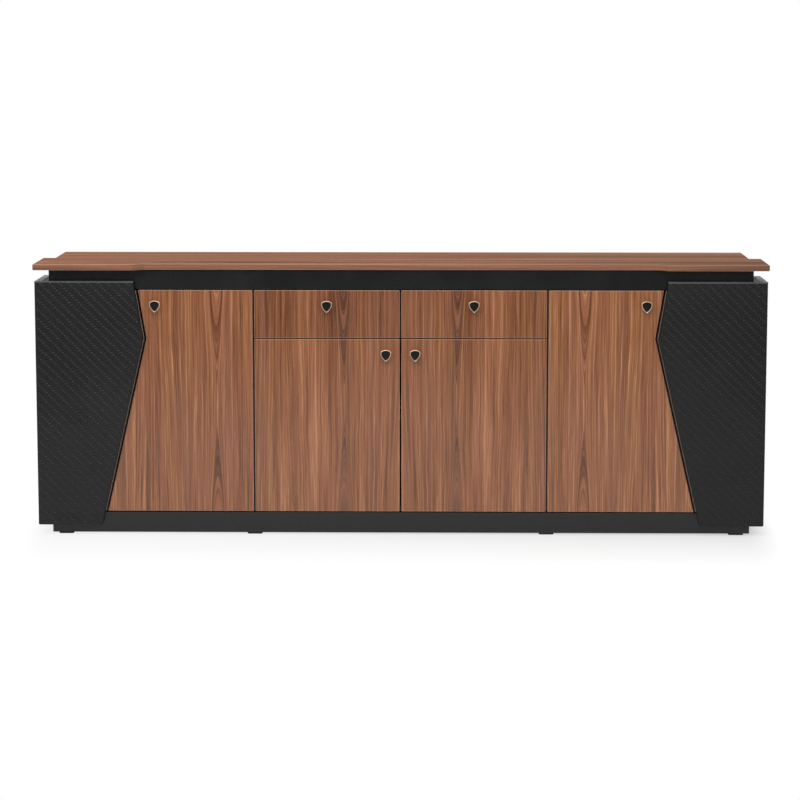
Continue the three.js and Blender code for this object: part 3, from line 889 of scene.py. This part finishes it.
CUP_PROFILE = [
    (0.0, -11.5 * MM),
    (16.9 * MM, -11.5 * MM),
    (17.5 * MM, -10.9 * MM),
    (17.5 * MM, -0.1 * MM),
    (19.0 * MM, -0.1 * MM),
    (19.2 * MM, 0.2 * MM),
    (18.9 * MM, 0.4 * MM),
    (16.8 * MM, 0.4 * MM),
    (16.3 * MM, 0.0),
    (16.2 * MM, -9.4 * MM),
    (15.4 * MM, -10.2 * MM),
    (6.0 * MM, -10.2 * MM),
    (5.2 * MM, -9.7 * MM),
    (0.0, -9.7 * MM),
]
CUP_STEPS = 40
EAR_HALF_WIDTH = 7 * MM
EAR_NEAR = 18 * MM
EAR_FAR = 33 * MM
EAR_THICK = 1.1 * MM
EAR_SCREW = 24 * MM
PLATE_Y = -127 * MM
PLATE_SCREW_RISE = 12.2 * MM
PLATE_THICK = 3 * MM
PLATE_SCREW_RADIUS = 3.6 * MM
ARM_THICK = 12 * MM
ARM_SCREW_YS = (-142 * MM, -108 * MM)
ARM_SCREW_RADIUS = 3.2 * MM
PARTITION_INNER = 433.5 * MM
PARTITION_OUTER = 451.5 * MM
HINGE_LOW = 160 * MM
TALL_HINGE_HIGH = 654 * MM
LOWER_HINGE_HIGH = 506.5 * MM


def place_cup(node):
    x, back, z = back_middle(node)
    out = (0, 1, 0)
    bm = bmesh.new()
    turned(bm, CUP_PROFILE, (x, back, z), out, CUP_STEPS)
    for way in (-1, 1):
        foot, top = sorted((z + way * EAR_NEAR, z + way * EAR_FAR))
        block(bm, (x - EAR_HALF_WIDTH, back, foot), (x + EAR_HALF_WIDTH, back + EAR_THICK, top))
        screw_head(bm, (x, back + EAR_THICK, z + way * EAR_SCREW), out, PLATE_SCREW_RADIUS)
    body = body_of_node[node]
    piece = finished(closed(bm), node + "_pressed", body, plated_steel, smooth=True)
    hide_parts(node)


def arm_screws(side, sign):
    """Screws of the plates and arms on both faces of a partition."""
    bm = bmesh.new()
    mounts = [
        (PARTITION_OUTER, 1, (HINGE_LOW, TALL_HINGE_HIGH)),
        (PARTITION_INNER, -1, (HINGE_LOW, LOWER_HINGE_HIGH)),
    ]
    for face, way, levels in mounts:
        out = (sign * way, 0, 0)
        plate, arm = sign * (face + way * PLATE_THICK), sign * (face + way * ARM_THICK)
        for z in levels:
            for rise in (-PLATE_SCREW_RISE, PLATE_SCREW_RISE):
                screw_head(bm, (plate, PLATE_Y, z + rise), out, PLATE_SCREW_RADIUS)
            for y in ARM_SCREW_YS:
                screw_head(bm, (arm, y, z), out, ARM_SCREW_RADIUS)
    finished(closed(bm), f"{side}_hinge_screws", "cabinet", plated_steel, smooth=True)


for name in nodes_ending("_cup", "_arm", "_arm_pair", "_runner", "_runner_pair"):
    if name.endswith("_cup"):
        place_cup(name)
    else:
        eased_board(name, plated_steel, METAL_EASE)
for side, sign in SIDES:
    arm_screws(side, sign)


# Shelf supports: a collar on the board and a flat tongue under the shelf

SIDE_INNER = 1039 * MM
SIDE_SHELF = 400 * MM
MIDDLE_SHELF = 322 * MM
SUPPORT_YS = (-80 * MM, 180 * MM)
SUPPORT_DROP = 4.4 * MM
# How far out the face of a board is, which way it looks, and the height of the shelf
SUPPORT_FACES = [
    (PARTITION_OUTER, 1, SIDE_SHELF),
    (SIDE_INNER, -1, SIDE_SHELF),
    (PARTITION_INNER, -1, MIDDLE_SHELF),
]
COLLAR_PROFILE = [
    (0.0, 0.0),
    (4.0 * MM, 0.0),
    (4.3 * MM, 0.3 * MM),
    (4.1 * MM, 1.2 * MM),
    (2.8 * MM, 1.6 * MM),
    (2.4 * MM, 6.0 * MM),
    (1.8 * MM, 6.6 * MM),
    (0.0, 6.6 * MM),
]
COLLAR_STEPS = 20
TONGUE_START = 1 * MM
TONGUE_END = 10 * MM
TONGUE_HALF_WIDTH = 3.5 * MM
TONGUE_THICK = 2.2 * MM


def shelf_supports():
    bm = bmesh.new()
    for side, sign in SIDES:
        for face, way, shelf in SUPPORT_FACES:
            x, out = sign * face, sign * way
            near, far = sorted((x + out * TONGUE_START, x + out * TONGUE_END))
            for y in SUPPORT_YS:
                turned(bm, COLLAR_PROFILE, (x, y, shelf - SUPPORT_DROP), (out, 0, 0), COLLAR_STEPS)
                block(bm, (near, y - TONGUE_HALF_WIDTH, shelf - TONGUE_THICK),
                      (far, y + TONGUE_HALF_WIDTH, shelf))
    finished(closed(bm), "shelf_supports", "cabinet", plated_steel, smooth=True)


shelf_supports()


# Screws of the back panel, along its top and foot and down the partitions

BACK_FACE = 220 * MM
BACK_SCREW_RADIUS = 3.8 * MM
PARTITION_XS = (-442.5 * MM, 442.5 * MM)
BACK_SCREW_XS = [x * MM for x in (-960, -720, -442.5, -180, 180, 442.5, 720, 960)]
BACK_SCREW_LEVELS = (69 * MM, 797 * MM)
PARTITION_SCREW_LEVELS = (250 * MM, 430 * MM, 610 * MM)


def back_screws():
    bm = bmesh.new()
    places = [(x, z) for x in BACK_SCREW_XS for z in BACK_SCREW_LEVELS]
    places += [(x, z) for x in PARTITION_XS for z in PARTITION_SCREW_LEVELS]
    for x, z in places:
        screw_head(bm, (x, BACK_FACE, z), (0, 1, 0), BACK_SCREW_RADIUS)
    finished(closed(bm), "back_panel_screws", "cabinet", plated_steel, smooth=True)


back_screws()


# Feet: a square moulded sole with round corners under a ribbed post

SOLE_HALF = 22.5 * MM
SOLE_HEIGHT = 5 * MM
SOLE_CORNER = 7 * MM
SOLE_CORNER_STEPS = 6
SOLE_EASE = 0.8 * MM
POST_RADIUS = 12 * MM
POST_TOP = 60 * MM
POST_START = 4.6 * MM
POST_RIB = 6 * MM
POST_STEPS = 28
FRONT_POST_SET = 7.5 * MM
# How far in each point of a groove lies, and its height above the rib
POST_GROOVE = [(0.0, 0.0), (0.9 * MM, 0.5 * MM), (0.9 * MM, 1.3 * MM), (0.0, 1.8 * MM)]


def post_profile():
    profile = [(0.0, POST_START), (POST_RADIUS, POST_START)]
    z = POST_START + POST_RIB
    while z < POST_TOP - POST_RIB:
        profile += [(POST_RADIUS - inward, z + rise) for inward, rise in POST_GROOVE]
        z += POST_RIB
    return profile + [(POST_RADIUS, POST_TOP), (0.0, POST_TOP)]


def moulded_sole(bm, x, y):
    low, high = (x - SOLE_HALF, y - SOLE_HALF, 0.0), (x + SOLE_HALF, y + SOLE_HALF, SOLE_HEIGHT)
    edges = box_edges(bm, low, high)
    upright = [e for e in edges if abs(e.verts[0].co.z - e.verts[1].co.z) > MERGE_GAP]
    round_edges(bm, upright, SOLE_CORNER, SOLE_CORNER_STEPS)
    ease_edges(bm, SOLE_EASE, BOARD_STEPS)


def place_foot(node):
    low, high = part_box(node)
    x, y = (low.x + high.x) / 2, (low.y + high.y) / 2
    set_back = FRONT_POST_SET if "front" in node else 0.0
    bm = bmesh.new()
    moulded_sole(bm, x, y)
    turned(bm, post_profile(), (x, y + set_back, 0.0), (0, 0, 1), POST_STEPS)
    piece = finished(closed(bm), node + "_moulded", "cabinet", foot_plastic, smooth=True)
    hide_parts(node)


for name in nodes_ending("_foot"):
    place_foot(name)


# Stage: a pale floor that runs on as the background, and soft light from above and in front

WHITE = grey(1.0)
FLOOR_SIZE = 60.0
FLOOR_SHADE = grey(0.7)
# For bounced and mirrored rays the floor is painted darker away from the cabinet, as a painted falloff
# of the studio light
FLOOR_NEAR = grey(0.9)
FLOOR_FAR = grey(0.12)
FLOOR_DIMMING = (2.4, 5.2)
# The shadow under the cabinet is mixed with white, more so at its left and away from it
SHADOW_LEFT_PALENESS = 0.8
SHADOW_RIGHT_PALENESS = 0.54
SHADOW_REACH = (0.2, 0.64)
SHADOW_HALF_WIDTH = 1.03
REAR_FADE = 1.2
SIDE_FADE = 5.5
BACKDROP_SIDE = (-0.1, 0.25)
WORLD_LIGHT = 0.34
ROOM_LIGHT = 0.10
# Name, place, target, size and watts of each lamp
LAMPS = [
    ("overhead", (-0.4, -1.5, 3.4), (-0.2, -0.5, 0.0), 2.8, 64.0),
    ("front", (0.2, -4.3, 3.5), (0.0, 0.0, 0.4), 2.4, 56.0),
    ("key", (-2.8, -4.0, 3.0), (0.0, 0.0, 0.4), 1.1, 48.0),
    ("fill", (2.8, -4.6, 2.6), (0.0, 0.0, 0.4), 1.3, 23.0),
]
CAMERA_PLACE = (0.123, -8.139, 1.531)
CAMERA_TILT = 0.1398
CAMERA_TURN = 0.01565
CAMERA_LENS = 119.8
CAMERA_SENSOR = 36.0
VIEW_END = 200.0


def seen_rays(w, depth):
    """Rays that see the white background: camera and glass rays, and mirrored ones that go back."""
    path = w.node("LightPath").outputs
    mirrored = w.maths("MULTIPLY", path["Is Glossy Ray"], w.spread(depth, *BACKDROP_SIDE))
    looked = w.maths("MAXIMUM", path["Is Camera Ray"], path["Is Transmission Ray"])
    return w.maths("MAXIMUM", looked, mirrored)


def shadow_paleness(w, x, y):
    """How much white is mixed into the floor: least under the cabinet, all of it further away."""
    beside = w.maths("SUBTRACT", w.maths("ABSOLUTE", x), SHADOW_HALF_WIDTH)
    beside = w.maths("MULTIPLY", w.maths("MAXIMUM", beside, 0.0), SIDE_FADE)
    in_front = w.maths("MULTIPLY", y, -1.0)
    depth = w.maths("MAXIMUM", in_front, w.maths("MULTIPLY", y, REAR_FADE))
    away = w.maths("SQRT", w.maths("ADD", w.maths("POWER", beside, 2.0), w.maths("POWER", depth, 2.0)))
    rightward = w.spread(x, -SHADOW_HALF_WIDTH, SHADOW_HALF_WIDTH)
    change = SHADOW_RIGHT_PALENESS - SHADOW_LEFT_PALENESS
    pale = w.maths("MULTIPLY_ADD", rightward, change, SHADOW_LEFT_PALENESS)
    return w.maths("MULTIPLY_ADD", w.spread(away, *SHADOW_REACH), w.maths("SUBTRACT", 1.0, pale), pale)


def pale_floor():
    made = bpy.data.materials.new("pale_floor")
    w = bare_wiring(made)
    place = w.node("SeparateXYZ", {0: w.node("TexCoord").outputs["Object"]}).outputs
    shade = w.node("BsdfDiffuse", {"Color": FLOOR_SHADE}).outputs[0]
    white = w.node("Emission", {"Color": WHITE, "Strength": 1.0}).outputs[0]
    pale = shadow_paleness(w, place["X"], place["Y"])
    shown = w.node("MixShader", {0: pale, 1: shade, 2: white}).outputs[0]
    dim = w.spread(w.maths("ABSOLUTE", place["Y"]), *FLOOR_DIMMING)
    plain = w.node("BsdfDiffuse", {"Color": w.mixed(dim, FLOOR_NEAR, FLOOR_FAR)}).outputs[0]
    both = w.node("MixShader", {0: seen_rays(w, place["Y"]), 1: plain, 2: shown})
    w.node("OutputMaterial", {0: both.outputs[0]})
    return made


def stage_floor():
    bm = bmesh.new()
    bmesh.ops.create_grid(bm, x_segments=1, y_segments=1, size=FLOOR_SIZE)
    mesh = bpy.data.meshes.new("floor")
    bm.to_mesh(mesh)
    bm.free()
    mesh.materials.append(pale_floor())
    floor = in_scene("floor", mesh)


def stage_world():
    world = bpy.data.worlds.new("studio")
    bpy.context.scene.world = world
    w = bare_wiring(world)
    heading = w.node("SeparateXYZ", {0: w.node("TexCoord").outputs["Generated"]}).outputs
    glossy = w.node("LightPath").outputs["Is Glossy Ray"]
    white, light, room = (
        w.node("Background", {"Color": WHITE, "Strength": level}).outputs[0]
        for level in (1.0, WORLD_LIGHT, ROOM_LIGHT)
    )
    unseen = w.node("MixShader", {0: glossy, 1: light, 2: room}).outputs[0]
    both = w.node("MixShader", {0: seen_rays(w, heading["Y"]), 1: unseen, 2: white})
    w.node("OutputWorld", {0: both.outputs[0]})


def stage_lamp(name, place, target, size, watts):
    data = bpy.data.lights.new(name, "AREA")
    data.shape = "SQUARE"
    data.size = size
    data.energy = watts
    lamp = in_scene(name, data)
    lamp.location = place
    lamp.rotation_euler = (Vector(target) - Vector(place)).to_track_quat("-Z", "Y").to_euler()


def stage_camera():
    data = bpy.data.cameras.new("camera")
    data.sensor_width = CAMERA_SENSOR
    data.lens = CAMERA_LENS
    data.clip_end = VIEW_END
    camera = in_scene("camera", data)
    camera.location = CAMERA_PLACE
    camera.rotation_euler = (math.pi / 2 - CAMERA_TILT, 0.0, CAMERA_TURN)
    bpy.context.scene.camera = camera


stage_floor()
stage_world()
for lamp in LAMPS:
    stage_lamp(*lamp)
stage_camera()
bpy.context.scene.view_settings.view_transform = "Standard"
